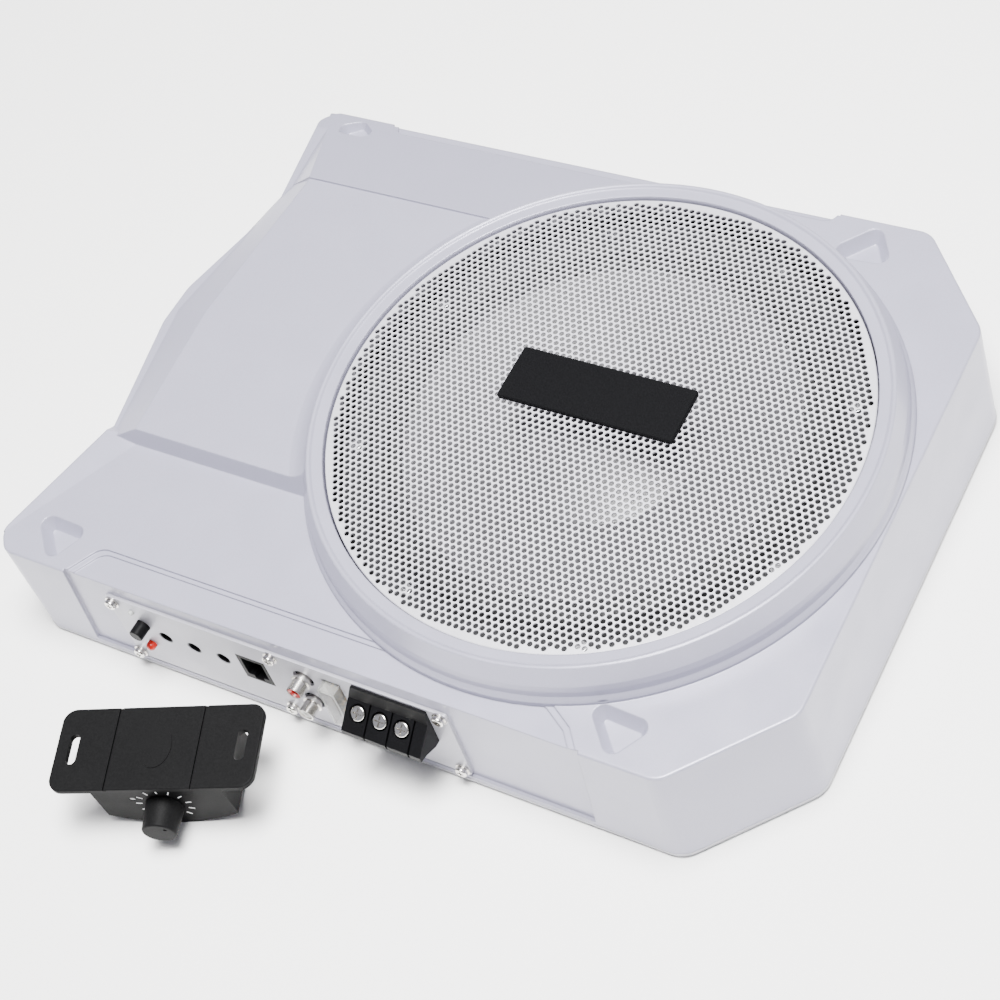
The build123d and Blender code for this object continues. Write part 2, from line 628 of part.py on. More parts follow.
with BuildPart() as control_panel:
    with BuildSketch(FACE) as plate:
        with Locations(((PANEL_X[0] + PANEL_X[1]) / 2, (PANEL_S[0] + PANEL_S[1]) / 2)):
            RectangleRounded(PANEL_X[1] - PANEL_X[0], PANEL_S[1] - PANEL_S[0], 2)
        with Locations(*PANEL_SCREWS):
            Circle(PANEL_SCREW_R, mode=Mode.SUBTRACT)
        with Locations(*[(x, POT_S) for x in POT_X]):
            Circle(POT_HOLE_R, mode=Mode.SUBTRACT)
        with Locations(*[(RCA_X, s) for s in RCA_S]):
            Circle(RCA_R + 1.6, mode=Mode.SUBTRACT)
        with Locations(PHASE):
            Circle(PHASE_R + 0.35, mode=Mode.SUBTRACT)
        with Locations(POWER_LED):
            Circle(1.7, mode=Mode.SUBTRACT)
        with Locations(PROTECT_LED):
            Circle(2.6, mode=Mode.SUBTRACT)
        with Locations((PORT[0], PORT[1])):
            Rectangle(PORT[2] + 0.2, PORT[3] + 0.2, mode=Mode.SUBTRACT)
        with Locations((INPUT[0], INPUT[1])):
            Rectangle(INPUT[2], INPUT[3], mode=Mode.SUBTRACT)
        with Locations(TERMINAL_WINDOW):
            Rectangle(34, 16, mode=Mode.SUBTRACT)
    extrude(amount=PANEL_T)
finish(control_panel, "control_panel")

with BuildPart() as panel_screws:
    add(face_rod(PANEL_SCREWS, 3.9, PANEL_T, PANEL_T + 0.8))
    add(face_rod(PANEL_SCREWS, 3.1, PANEL_T + 0.8, PANEL_T + 3.2))
    fillet(panel_screws.faces().sort_by(OUTWARDS)[-6:].edges(), 0.9)
    add(face_rod(PANEL_SCREWS, PANEL_SCREW_R, -5, PANEL_T))
    with BuildSketch(FACE.offset(PANEL_T + 2.2)):
        with Locations(*PANEL_SCREWS):
            Rectangle(3.4, 0.8)
            Rectangle(0.8, 3.4)
    extrude(amount=2, mode=Mode.SUBTRACT)
finish(panel_screws, "panel_screws")

with BuildPart() as panel_board:
    add(face_block(-41, 35, 178, 34, BOARD_OUT - 1.6, BOARD_OUT))
finish(panel_board, "panel_board")

with BuildPart() as level_pots:
    for x in POT_X:
        add(face_block(x, POT_S, 12, 12, BOARD_OUT, -2.6))
    # a collar stands up into the hole of the panel
    add(face_rod([(x, POT_S) for x in POT_X], POT_HOLE_R - 0.35, -2.6, PANEL_T - 0.3))
    with BuildSketch(FACE.offset(BOARD_OUT + 1)):
        with Locations(*[(x, POT_S) for x in POT_X]):
            Circle(SHAFT_R + 0.06)
    extrude(amount=12, mode=Mode.SUBTRACT)
finish(level_pots, "level_pots")

for name, x in zip(("gain_shaft", "crossover_shaft", "boost_shaft"), POT_X):
    with BuildPart() as shaft:
        add(face_rod([(x, POT_S)], SHAFT_R, BOARD_OUT + 1.4, -0.5))
        with BuildSketch(FACE.offset(-0.5)):
            with Locations((x, POT_S)):
                Rectangle(1.0, 2 * SHAFT_R)
        extrude(amount=-1.2, mode=Mode.SUBTRACT)
    finish(shaft, name)

with BuildPart() as phase_switch:
    add(face_block(PHASE[0], PHASE[1], 9, 9, BOARD_OUT, -2.6))
    with BuildSketch(FACE.offset(BOARD_OUT)):
        with Locations(PHASE):
            Circle(2.06)
    extrude(amount=10, mode=Mode.SUBTRACT)
finish(phase_switch, "phase_switch")

with BuildPart() as phase_button:
    add(face_rod([PHASE], 2.0, -5.2, 0.6))
    add(face_rod([PHASE], PHASE_R, 0.6, 9.0))
    fillet(phase_button.faces().sort_by(OUTWARDS)[-1].edges(), 0.6)
finish(phase_button, "phase_button")

with BuildPart() as power_led:
    add(face_rod([POWER_LED], 1.6, -3, 3.4))
    fillet(power_led.faces().sort_by(OUTWARDS)[-1].edges(), 1.4)
finish(power_led, "power_led")

with BuildPart() as protect_led:
    add(face_rod([PROTECT_LED], 2.5, BOARD_OUT, 5.6))
    fillet(protect_led.faces().sort_by(OUTWARDS)[-1].edges(), 2.2)
finish(protect_led, "protect_led")

with BuildPart() as rca_block:
    add(face_block(RCA_X, 37.5, 16, 31, BOARD_OUT, -1.0))
finish(rca_block, "rca_block")

with BuildPart() as rca_barrels:
    spots = [(RCA_X, s) for s in RCA_S]
    add(face_rod(spots, RCA_R, -1.0, 10.6))
    add(face_rod(spots, RCA_R + 0.9, 3.4, 4.4))
    with BuildSketch(FACE.offset(-1.0)):
        with Locations(*spots):
            Circle(RCA_R - 0.75)
    extrude(amount=14, mode=Mode.SUBTRACT)
finish(rca_barrels, "rca_barrels")

for name, s_place in zip(("rca_insert_red", "rca_insert_white"), RCA_S):
    with BuildPart() as insert:
        add(face_rod([(RCA_X, s_place)], RCA_R - 0.75, -1.0, 9.8))
        with BuildSketch(FACE.offset(0.5)):
            with Locations((RCA_X, s_place)):
                Circle(1.7)
        extrude(amount=14, mode=Mode.SUBTRACT)
    finish(insert, name)

PORT_HOLE = (12.4, 13.6)
with BuildPart() as remote_port:
    add(face_block(*PORT, BOARD_OUT, PANEL_T))
    with BuildSketch(FACE.offset(BOARD_OUT + 1.4)):
        with Locations((PORT[0], PORT[1] + 0.8)):
            Rectangle(*PORT_HOLE)
        with Locations((PORT[0], PORT[1] - 7.2)):
            Rectangle(5.6, 3)
    extrude(amount=20, mode=Mode.SUBTRACT)
finish(remote_port, "remote_port")

with BuildPart() as input_connector:
    add(face_block(INPUT[0], INPUT[1], INPUT[2] - 1.2, INPUT[3] - 3, BOARD_OUT, 7.0))
    with BuildSketch(FACE.offset(-5)):
        with Locations((INPUT[0], INPUT[1])):
            Rectangle(INPUT[2] - 3.2, INPUT[3] - 5)
    extrude(amount=20, mode=Mode.SUBTRACT)
finish(input_connector, "input_connector")

with BuildPart() as input_pins:
    with BuildSketch(FACE.offset(-5)):
        with Locations((INPUT[0], INPUT[1])):
            with GridLocations(3.2, 5.2, 2, 5):
                Rectangle(0.9, 0.9)
    extrude(amount=6)
finish(input_pins, "input_pins")

# terminal block: barrier strip whose screws look up and outwards from a sloping step
CHIN = (37.5, 16.6)                      # height up the face and distance out
STEP_LOW = (40.5, 16.6)
STEP_HIGH = (50.7, 4.2)
SCREW_UP = 2.0                           # screws stand above the middle of the step
WELL = 3.0                               # depth of the wells round the screws
TERMINAL_HEAD_R = 3.8
TERMINAL_HEAD_TOP = 0.6
mid_s = (STEP_LOW[0] + STEP_HIGH[0]) / 2
mid_out = (STEP_LOW[1] + STEP_HIGH[1]) / 2
TERMINAL = Plane(
    origin=face_at(0, mid_s, mid_out),
    x_dir=(1, 0, 0),
    z_dir=(FACE.y_dir * (STEP_LOW[1] - STEP_HIGH[1])
           + FACE.z_dir * (STEP_HIGH[0] - STEP_LOW[0])).normalized(),
)
SIDE = Plane(origin=face_at(TERMINAL_X[0], 0), x_dir=FACE.y_dir, z_dir=(1, 0, 0))
with BuildPart() as terminal_block:
    with BuildSketch(SIDE):
        Polygon((TERMINAL_S[0], PANEL_T), (TERMINAL_S[0], 5), (36.5, 12), CHIN, STEP_LOW,
                STEP_HIGH, (TERMINAL_S[1], 3), (TERMINAL_S[1], PANEL_T), align=None)
    extrude(amount=TERMINAL_X[1] - TERMINAL_X[0])
    add(face_block(*TERMINAL_WINDOW, 30, 12, BOARD_OUT, PANEL_T))
    # the upper left corner is clipped and the right end leans in towards the front
    with BuildSketch(FACE.offset(PANEL_T)):
        Polygon((0, 51), (TERMINAL_X[0], 51), (5.8, 60), (0, 60), align=None)
    extrude(amount=10, mode=Mode.SUBTRACT)
    with BuildSketch(Plane(origin=face_at(TERMINAL_X[1], 40, 9), x_dir=FACE.y_dir,
                           z_dir=(1, 0, 0)).rotated((-41, 0, 0))):
        Rectangle(60, 60)
    extrude(amount=20, mode=Mode.SUBTRACT)
    # slots beside the ways, screw wells, and wire entries from below
    with BuildSketch(TERMINAL):
        with Locations(*[(x, 0) for x in WAY_SLOTS]):
            Rectangle(1.0, 26)
    extrude(amount=-2.4, mode=Mode.SUBTRACT)
    with BuildSketch(TERMINAL):
        with Locations(*[(x, SCREW_UP) for x in WAYS]):
            Circle(TERMINAL_HEAD_R + 0.8)
    extrude(amount=-WELL, mode=Mode.SUBTRACT)
    with BuildSketch(Plane(origin=face_at(0, TERMINAL_S[0], 7.6), x_dir=(1, 0, 0),
                           z_dir=-FACE.y_dir)):
        with Locations(*[(x, 0) for x in WAYS]):
            Rectangle(7, 5.6)
    extrude(amount=-7, mode=Mode.SUBTRACT)
finish(terminal_block, "terminal_block")

with BuildPart() as terminal_screws:
    with BuildSketch(TERMINAL.offset(-WELL)):
        with Locations(*[(x, SCREW_UP) for x in WAYS]):
            Circle(TERMINAL_HEAD_R)
    extrude(amount=WELL + TERMINAL_HEAD_TOP)
    fillet(terminal_screws.faces().sort_by(Axis(TERMINAL.origin, TERMINAL.z_dir))[-3:].edges(),
           0.9)
    with BuildSketch(TERMINAL.offset(TERMINAL_HEAD_TOP)):
        with Locations(*[(x, SCREW_UP) for x in WAYS]):
            Rectangle(5.0, 0.9)
            Rectangle(0.9, 5.0)
    extrude(amount=-1.3, mode=Mode.SUBTRACT)
finish(terminal_screws, "terminal_screws")

# ================================================================ amplifier
BOARD_Z = 12.0
BOARD_T = 1.6
BOARD_X = (-162.0, -74.0)
BOARD_HALF_Y = 98.0
STANDOFFS = [(x, y) for x in (-156, -80) for y in (-92, 92)]
with BuildPart() as board_standoffs:
    with BuildSketch(level(SHELL_Z)):
        with Locations(*STANDOFFS):
            Circle(3.4)
            Circle(1.3, mode=Mode.SUBTRACT)
    extrude(amount=BOARD_Z - SHELL_Z)
finish(board_standoffs, "board_standoffs")

with BuildPart() as amp_board:
    with BuildSketch(level(BOARD_Z)):
        with Locations(((BOARD_X[0] + BOARD_X[1]) / 2, 0)):
            Rectangle(BOARD_X[1] - BOARD_X[0], 2 * BOARD_HALF_Y)
        with Locations(*STANDOFFS):
            Circle(1.3, mode=Mode.SUBTRACT)
    extrude(amount=BOARD_T)
finish(amp_board, "amp_board")

PARTS_Z = BOARD_Z + BOARD_T
with BuildPart() as board_screws:
    with BuildSketch(level(PARTS_Z)):
        with Locations(*STANDOFFS):
            Circle(2.8)
    extrude(amount=1.8)
    with BuildSketch(level(PARTS_Z)):
        with Locations(*STANDOFFS):
            Circle(1.3)
    extrude(amount=-6)
finish(board_screws, "board_screws")

with BuildPart() as capacitors:
    with BuildSketch(level(PARTS_Z)):
        with Locations((-147, 0)):
            with GridLocations(0, 22, 1, 4):
                Circle(9)
    extrude(amount=34)
    fillet(capacitors.faces().sort_by(Axis.Z)[-4:].edges(), 1.2)
finish(capacitors, "capacitors")

CHOKE = (-120.0, -64.0)
with BuildPart() as choke_core:
    with BuildSketch(level(PARTS_Z + 3)):
        with Locations(CHOKE):
            Circle(17)
            Circle(9, mode=Mode.SUBTRACT)
    extrude(amount=10)
finish(choke_core, "choke_core")

with BuildPart() as choke_winding:
    with BuildSketch(level(PARTS_Z)):
        with Locations(CHOKE):
            Circle(20)
            Circle(6, mode=Mode.SUBTRACT)
    extrude(amount=16)
    fillet(choke_winding.edges().filter_by(GeomType.CIRCLE), 2)
    with BuildSketch(level(PARTS_Z + 3)):
        with Locations(CHOKE):
            Circle(17)
            Circle(9, mode=Mode.SUBTRACT)
    extrude(amount=10, mode=Mode.SUBTRACT)
    # the winding leaves the core bare on one side
    with BuildSketch(level(PARTS_Z)):
        with Locations((CHOKE[0] + 20, CHOKE[1])):
            Rectangle(30, 8)
    extrude(amount=17, mode=Mode.SUBTRACT)
finish(choke_winding, "choke_winding")

SINK = (-100.0, 34.0)
with BuildPart() as heat_sink:
    with BuildSketch(level(PARTS_Z)):
        with Locations((SINK[0] - 8, SINK[1])):
            Rectangle(4, 96)
        with Locations((SINK[0] + 3, SINK[1])):
            with GridLocations(0, 7.8, 1, 12):
                Rectangle(18, 1.8)
    extrude(amount=30)
finish(heat_sink, "heat_sink")

with BuildPart() as transistors:
    with BuildSketch(level(PARTS_Z + 10)):
        with Locations((SINK[0] - 12.3, SINK[1])):
            with GridLocations(0, 22, 1, 4):
                Rectangle(4.6, 10)
    extrude(amount=15)
    with BuildSketch(level(PARTS_Z)):
        with Locations((SINK[0] - 12.3, SINK[1])):
            with GridLocations(0, 22, 1, 4):
                with GridLocations(0, 2.5, 1, 3):
                    Rectangle(0.6, 0.9)
    extrude(amount=10)
finish(transistors, "transistors")

# ================================================================ wired level control
REMOTE_YAW = radians(21.9)
REMOTE_X = -80.0
REMOTE_Y = -214.0
REMOTE_W = 67.0
REMOTE_D = 38.0
REMOTE_SIDE_Z = (9.0, 32.0)
REMOTE_TOP_Z = 38.0
BRACKET = (104.0, 44.0, 3.0)
SKIN = 2.0
KNOB_R = 9.4
KNOB_Z = 19.0
KNOB_GAP = 0.6
REMOTE = Plane(origin=(REMOTE_X, REMOTE_Y, 0), x_dir=(cos(REMOTE_YAW), sin(REMOTE_YAW), 0),
               z_dir=(0, 0, 1))
REMOTE_FRONT = Plane(origin=REMOTE.from_local_coords(Vector(0, -REMOTE_D / 2, 0)),
                     x_dir=REMOTE.x_dir, z_dir=-REMOTE.y_dir)
BRACKET_SLOTS = 86.0     # between the two slots
SLOT = (16.0, 5.0)


def remote_section(inset=0.0):
    """Front view of the control's case: straight sides, a bowed belly, narrower at the top."""
    half = REMOTE_W / 2 - inset
    low, high = REMOTE_SIDE_Z
    with BuildSketch() as section:
        with BuildLine():
            Polyline((half, low), (half, high - inset / 2), (half - 6, REMOTE_TOP_Z - inset),
                     (-half + 6, REMOTE_TOP_Z - inset), (-half, high - inset / 2), (-half, low))
            ThreePointArc((-half, low), (0, inset), (half, low))
        make_face()
    return section.sketch


with BuildPart() as remote_housing:
    with BuildSketch(REMOTE_FRONT.offset(-SKIN)):
        add(remote_section())
    extrude(amount=-(REMOTE_D - SKIN))
    with BuildSketch(REMOTE_FRONT.offset(-SKIN)):
        add(remote_section(SKIN))
    extrude(amount=-(REMOTE_D - 2 * SKIN), mode=Mode.SUBTRACT)
    with BuildSketch(REMOTE_FRONT.offset(-REMOTE_D)):
        with Locations((0, 20)):
            Rectangle(17.2, 15.2)
    extrude(amount=2 * SKIN, mode=Mode.SUBTRACT)
finish(remote_housing, "remote_housing")

with BuildPart() as remote_fascia:
    with BuildSketch(REMOTE_FRONT.offset(-SKIN)):
        add(remote_section())
        with Locations((0, KNOB_Z)):
            Circle(3.9, mode=Mode.SUBTRACT)
        with Locations((-14.5, 25)):
            Circle(1.55, mode=Mode.SUBTRACT)
    extrude(amount=SKIN)
finish(remote_fascia, "remote_fascia")

with BuildPart() as remote_bracket:
    with BuildSketch(REMOTE.offset(REMOTE_TOP_Z)):
        RectangleRounded(BRACKET[0], BRACKET[1], 7)
        with Locations((-BRACKET_SLOTS / 2, 0), (BRACKET_SLOTS / 2, 0)):
            SlotOverall(SLOT[0], SLOT[1], rotation=90, mode=Mode.SUBTRACT)
    extrude(amount=BRACKET[2])
    fillet(remote_bracket.faces().sort_by(Axis.Z)[-1].outer_wire().edges(), 0.8)
    with BuildSketch(REMOTE.offset(REMOTE_TOP_Z + BRACKET[2])):
        with Locations((-22, 0), (22, 0)):
            Rectangle(1.8, 60)
    extrude(amount=-1.2, mode=Mode.SUBTRACT)
    with BuildSketch(REMOTE.offset(REMOTE_TOP_Z + BRACKET[2])):
        Ellipse(8, 11)
    extrude(amount=0.4)
finish(remote_bracket, "remote_bracket")

with BuildPart() as remote_pot:
    with BuildSketch(REMOTE_FRONT.offset(-SKIN - 9)):
        with Locations((0, KNOB_Z)):
            Rectangle(13, 14)
    extrude(amount=9)
    with BuildSketch(REMOTE_FRONT.offset(-SKIN)):
        with Locations((0, KNOB_Z)):
            Circle(3.8)
    extrude(amount=SKIN)
    with BuildSketch(REMOTE_FRONT.offset(-SKIN - 7)):
        with Locations((0, KNOB_Z)):
            Circle(SHAFT_R + 0.06)
    extrude(amount=20, mode=Mode.SUBTRACT)
finish(remote_pot, "remote_pot")

with BuildPart() as remote_shaft:
    with BuildSketch(REMOTE_FRONT.offset(-SKIN - 6.5)):
        with Locations((0, KNOB_Z)):
            Circle(SHAFT_R)
    extrude(amount=6.5 + SKIN + 10)
finish(remote_shaft, "remote_shaft")

KNOB_L = 14.5
with BuildPart() as remote_knob:
    with BuildSketch(REMOTE_FRONT.offset(KNOB_GAP)):
        with Locations((0, KNOB_Z)):
            Circle(KNOB_R)
    extrude(amount=KNOB_L, taper=3.5)
    fillet(remote_knob.faces().sort_by(Axis(REMOTE_FRONT.origin, REMOTE_FRONT.z_dir))[-1].edges(),
           1.0)
    with BuildSketch(REMOTE_FRONT.offset(KNOB_GAP)):
        with Locations((0, KNOB_Z)):
            Circle(SHAFT_R)
    extrude(amount=10 - KNOB_GAP, mode=Mode.SUBTRACT)
    # pointer dimple
    with BuildSketch(REMOTE_FRONT.offset(KNOB_GAP + KNOB_L)):
        with Locations((4.2, KNOB_Z + 3.4)):
            Circle(0.9)
    extrude(amount=-0.8, mode=Mode.SUBTRACT)
finish(remote_knob, "remote_knob")

with BuildPart() as remote_led:
    with BuildSketch(REMOTE_FRONT.offset(-SKIN - 6)):
        with Locations((-14.5, 25)):
            Circle(1.5)
    extrude(amount=6 + SKIN - 0.4)
finish(remote_led, "remote_led")

with BuildPart() as remote_board:
    with BuildSketch(REMOTE_FRONT.offset(-SKIN - 10.6)):
        with Locations((0, KNOB_Z)):
            Rectangle(50, 22)
    extrude(amount=1.6)
finish(remote_board, "remote_board")

with BuildPart() as remote_jack:
    with BuildSketch(REMOTE_FRONT.offset(-REMOTE_D)):
        with Locations((0, 20)):
            Rectangle(17, 15)
    extrude(amount=14)
    with BuildSketch(REMOTE_FRONT.offset(-REMOTE_D)):
        with Locations((0, 20)):
            Rectangle(12.4, 8.6)
    extrude(amount=11, mode=Mode.SUBTRACT)
finish(remote_jack, "remote_jack")
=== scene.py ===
"""Powered car subwoofer: finishes, perforated grille, soft surround and printed scale."""
import json
import math

import bmesh
import bpy
from mathutils import Matrix, Vector


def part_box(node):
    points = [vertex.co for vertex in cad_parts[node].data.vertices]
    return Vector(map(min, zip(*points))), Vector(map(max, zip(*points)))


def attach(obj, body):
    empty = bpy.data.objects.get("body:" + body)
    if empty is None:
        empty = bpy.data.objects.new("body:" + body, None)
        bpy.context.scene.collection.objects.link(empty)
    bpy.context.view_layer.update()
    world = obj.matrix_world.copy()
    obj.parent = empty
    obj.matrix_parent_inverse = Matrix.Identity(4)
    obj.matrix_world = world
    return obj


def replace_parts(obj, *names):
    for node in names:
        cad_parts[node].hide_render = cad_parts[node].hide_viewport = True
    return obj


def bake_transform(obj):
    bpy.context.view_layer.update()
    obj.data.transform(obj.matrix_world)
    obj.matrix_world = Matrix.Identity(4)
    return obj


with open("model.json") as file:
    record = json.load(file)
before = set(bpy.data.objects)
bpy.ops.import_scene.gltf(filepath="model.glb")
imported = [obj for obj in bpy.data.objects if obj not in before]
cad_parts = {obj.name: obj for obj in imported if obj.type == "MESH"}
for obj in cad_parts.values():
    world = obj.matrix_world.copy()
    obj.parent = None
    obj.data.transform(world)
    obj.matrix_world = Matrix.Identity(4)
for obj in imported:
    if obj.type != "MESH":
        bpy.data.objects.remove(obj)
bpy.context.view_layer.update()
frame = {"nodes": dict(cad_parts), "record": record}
NODES = frame["nodes"]

MM = 0.001


# ---------------------------------------------------------------- materials

def shader(name, colour, roughness, metallic=0.0, **sockets):
    """A new material; sockets are given by their names, with _ for spaces."""
    made = bpy.data.materials.new(name)
    made.use_nodes = True
    surface = made.node_tree.nodes["Principled BSDF"]
    surface.inputs["Base Color"].default_value = (*colour, 1)
    surface.inputs["Roughness"].default_value = roughness
    surface.inputs["Metallic"].default_value = metallic
    for socket, value in sockets.items():
        surface.inputs[socket.replace("_", " ")].default_value = value
    return made


def place(made, stretch=(1, 1, 1)):
    """Coordinates on the object, in metres, stretched for brushed or drawn finishes."""
    tree = made.node_tree
    where = tree.nodes.new("ShaderNodeTexCoord")
    scaled = tree.nodes.new("ShaderNodeMapping")
    scaled.inputs["Scale"].default_value = stretch
    tree.links.new(where.outputs["Object"], scaled.inputs["Vector"])
    return scaled.outputs["Vector"]


def grain(made, size, detail=2.0, stretch=(1, 1, 1)):
    """Noise whose features are about size metres."""
    noise = made.node_tree.nodes.new("ShaderNodeTexNoise")
    noise.inputs["Scale"].default_value = 1.0 / size
    noise.inputs["Detail"].default_value = detail
    made.node_tree.links.new(place(made, stretch), noise.inputs["Vector"])
    return noise.outputs["Fac"]


def spread(made, value, low, high):
    """Maps a noise value from its usual 0.3 to 0.7 onto low to high."""
    mapped = made.node_tree.nodes.new("ShaderNodeMapRange")
    mapped.inputs["From Min"].default_value = 0.3
    mapped.inputs["From Max"].default_value = 0.7
    mapped.inputs["To Min"].default_value = low
    mapped.inputs["To Max"].default_value = high
    made.node_tree.links.new(value, mapped.inputs["Value"])
    return mapped.outputs["Result"]


def tint(made, value, low, high):
    """Colour from low to high over a noise value."""
    ramp = made.node_tree.nodes.new("ShaderNodeValToRGB")
    ramp.color_ramp.elements[0].position = 0.3
    ramp.color_ramp.elements[0].color = (*low, 1)
    ramp.color_ramp.elements[1].position = 0.7
    ramp.color_ramp.elements[1].color = (*high, 1)
    made.node_tree.links.new(value, ramp.inputs["Fac"])
    made.node_tree.links.new(ramp.outputs["Color"],
                             made.node_tree.nodes["Principled BSDF"].inputs["Base Color"])


def relief(made, value, depth, strength=1.0, edge_round=0.0):
    """Bump of the given depth in metres, over edges rounded by edge_round."""
    bump = made.node_tree.nodes.new("ShaderNodeBump")
    if edge_round:
        soft = made.node_tree.nodes.new("ShaderNodeBevel")
        soft.samples = 6
        soft.inputs["Radius"].default_value = edge_round
        made.node_tree.links.new(soft.outputs["Normal"], bump.inputs["Normal"])
    bump.inputs["Strength"].default_value = strength
    bump.inputs["Distance"].default_value = depth
    made.node_tree.links.new(value, bump.inputs["Height"])
    made.node_tree.links.new(bump.outputs["Normal"],
                             made.node_tree.nodes["Principled BSDF"].inputs["Normal"])


def finish(name, colour, roughness, metallic=0.0, shade=0.06, size=0.0008, depth=0.00001,
           rough_play=0.05, stretch=(1, 1, 1), edge_round=0.0, **sockets):
    """A finish whose colour, roughness and relief all vary at the scale of its grain."""
    made = shader(name, colour, roughness, metallic, **sockets)
    fine = grain(made, size, 3.0, stretch)
    broad = grain(made, size * 40, 2.0)
    dark = tuple(c * (1 - shade) for c in colour)
    light = tuple(min(1.0, c * (1 + shade)) for c in colour)
    tint(made, fine, dark, light)
    rough = spread(made, broad, max(0.02, roughness - rough_play), roughness + rough_play)
    made.node_tree.links.new(rough, made.node_tree.nodes["Principled BSDF"].inputs["Roughness"])
    relief(made, fine, depth, edge_round=edge_round)
    return made


SILVER = (0.315, 0.309, 0.39)
BLACK = (0.004, 0.004, 0.0045)

FINISHES = {
    "silver_shell": finish("silver_shell", SILVER, 0.34, 0.18, 0.035, 0.0006, 0.000006,
                           edge_round=0.0011, Coat_Weight=0.2, Coat_Roughness=0.2),
    "grey_base": finish("grey_base", (0.40, 0.40, 0.43), 0.5, 0.1, 0.05, 0.0008, 0.00002),
    "rubber": finish("rubber", (0.02, 0.02, 0.021), 0.72, 0.0, 0.2, 0.0007, 0.00003),
    "zinc": finish("zinc", (0.58, 0.58, 0.60), 0.34, 1.0, 0.10, 0.0004, 0.000008),
    "brass": finish("brass", (0.78, 0.57, 0.27), 0.28, 1.0, 0.08, 0.0004, 0.000006),
    "grille_steel": finish("grille_steel", (0.62, 0.612, 0.66), 0.36, 0.35, 0.05, 0.0005, 0.000008),
    "black_foam": finish("black_foam", (0.006, 0.006, 0.006), 0.95, 0.0, 0.5, 0.0012, 0.00015,
                         Specular_IOR_Level=0.1),
    "black_plate": finish("black_plate", (0.0035, 0.0035, 0.004), 0.62, 0.0, 0.5, 0.0005, 0.00006,
                          IOR=1.15, Specular_IOR_Level=0.3),
    "black_steel": finish("black_steel", (0.018, 0.018, 0.02), 0.45, 0.0, 0.2, 0.0008, 0.00003),
    "ferrite": finish("ferrite", (0.05, 0.05, 0.053), 0.6, 0.2, 0.2, 0.0006, 0.00003),
    "cone_grey": finish("cone_grey", (0.085, 0.083, 0.088), 0.42, 0.05, 0.08, 0.0009, 0.00003),
    "cloth": finish("cloth", (0.62, 0.44, 0.20), 0.85, 0.0, 0.25, 0.0006, 0.0001),
    "copper": finish("copper", (0.75, 0.30, 0.14), 0.3, 1.0, 0.15, 0.0005, 0.00004,
                     stretch=(1, 1, 8)),
    "aluminium": finish("aluminium", (0.70, 0.70, 0.72), 0.35, 1.0, 0.08, 0.0004, 0.00001,
                        stretch=(1, 1, 12)),
    "silver_panel": finish("silver_panel", (0.42, 0.415, 0.46), 0.42, 0.35, 0.05, 0.0005, 0.00001),
    "nickel": finish("nickel", (0.72, 0.70, 0.66), 0.20, 1.0, 0.08, 0.0004, 0.000006),
    "circuit_board": finish("circuit_board", (0.01, 0.075, 0.03), 0.4, 0.0, 0.3, 0.0016, 0.00003),
    "black_plastic": finish("black_plastic", BLACK, 0.42, 0.0, 0.25, 0.0006, 0.000015,
                            IOR=1.2, Specular_IOR_Level=0.3),
    "clear_led": finish("clear_led", (0.86, 0.88, 0.86), 0.08, 0.0, 0.03, 0.0006, 0.000004,
                        Transmission_Weight=0.6, IOR=1.5),
    "red_led": finish("red_led", (0.72, 0.02, 0.012), 0.10, 0.0, 0.12, 0.0008, 0.000004,
                      Transmission_Weight=0.25, IOR=1.5),
    "red_plastic": finish("red_plastic", (0.62, 0.02, 0.02), 0.32, 0.0, 0.10, 0.0006, 0.000008),
    "white_plastic": finish("white_plastic", (0.82, 0.82, 0.79), 0.34, 0.0, 0.04, 0.0006, 0.000008),
    "clear_nylon": finish("clear_nylon", (0.86, 0.86, 0.83), 0.16, 0.0, 0.06, 0.0007, 0.00001,
                          Transmission_Weight=0.85, IOR=1.5),
    "capacitor_sleeve": finish("capacitor_sleeve", (0.012, 0.018, 0.06), 0.25, 0.0, 0.15, 0.001,
                               0.000008),
    "remote_black": finish("remote_black", (0.0055, 0.0055, 0.0057), 0.50, 0.0, 0.28, 0.0007,
                           0.00004, IOR=1.18, Specular_IOR_Level=0.3),
    "print_white": finish("print_white", (0.80, 0.80, 0.80), 0.55, 0.0, 0.05, 0.0004, 0.000006),
}
SLOT_OF = {part["node"]: part["material_slot"] for part in frame["record"]["subparts"]}


def dress(obj, made):
    """Gives every face of a piece the one finish."""
    if not obj.material_slots:
        obj.data.materials.append(made)
    for held in obj.material_slots:
        held.material = made


for node, obj in NODES.items():
    dress(obj, FINISHES[SLOT_OF[node]])


def piece(name, points, faces, body, slot_name, smooth=True):
    """A new mesh piece that rides on a body and takes its finish from a slot."""
    mesh = bpy.data.meshes.new(name)
    mesh.from_pydata(points, [], faces)
    mesh.validate()
    mesh.update()
    for polygon in mesh.polygons:
        polygon.use_smooth = smooth
    obj = bpy.data.objects.new(name, mesh)
    bpy.context.scene.collection.objects.link(obj)
    dress(obj, FINISHES[slot_name])
    if body:
        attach(obj, body)
    return obj


# ---------------------------------------------------------------- perforated grille

grille_low, grille_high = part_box("grille")
WOOFER = (grille_low + grille_high) / 2
GRILLE_R = (grille_high.x - grille_low.x) / 2
GRILLE_TOP = grille_high.z
DOME_RISE = 2.8 * MM
SHEET_T = 0.9 * MM
PITCH = 3.47 * MM
HOLE_R = 1.32 * MM
HOLE_EASE = 0.10 * MM
HOLE_SIDES = 12
SOLID_EDGE = 0.45 * MM   # least sheet between the outermost holes and the edge
SHEET_R = GRILLE_R - 0.6 * MM
DOME_R = (GRILLE_R ** 2 + DOME_RISE ** 2) / (2 * DOME_RISE)


def dome(x, y):
    """Height of the domed sheet's face at a point from the woofer's axis."""
    return GRILLE_TOP - DOME_R + math.sqrt(DOME_R ** 2 - x * x - y * y)


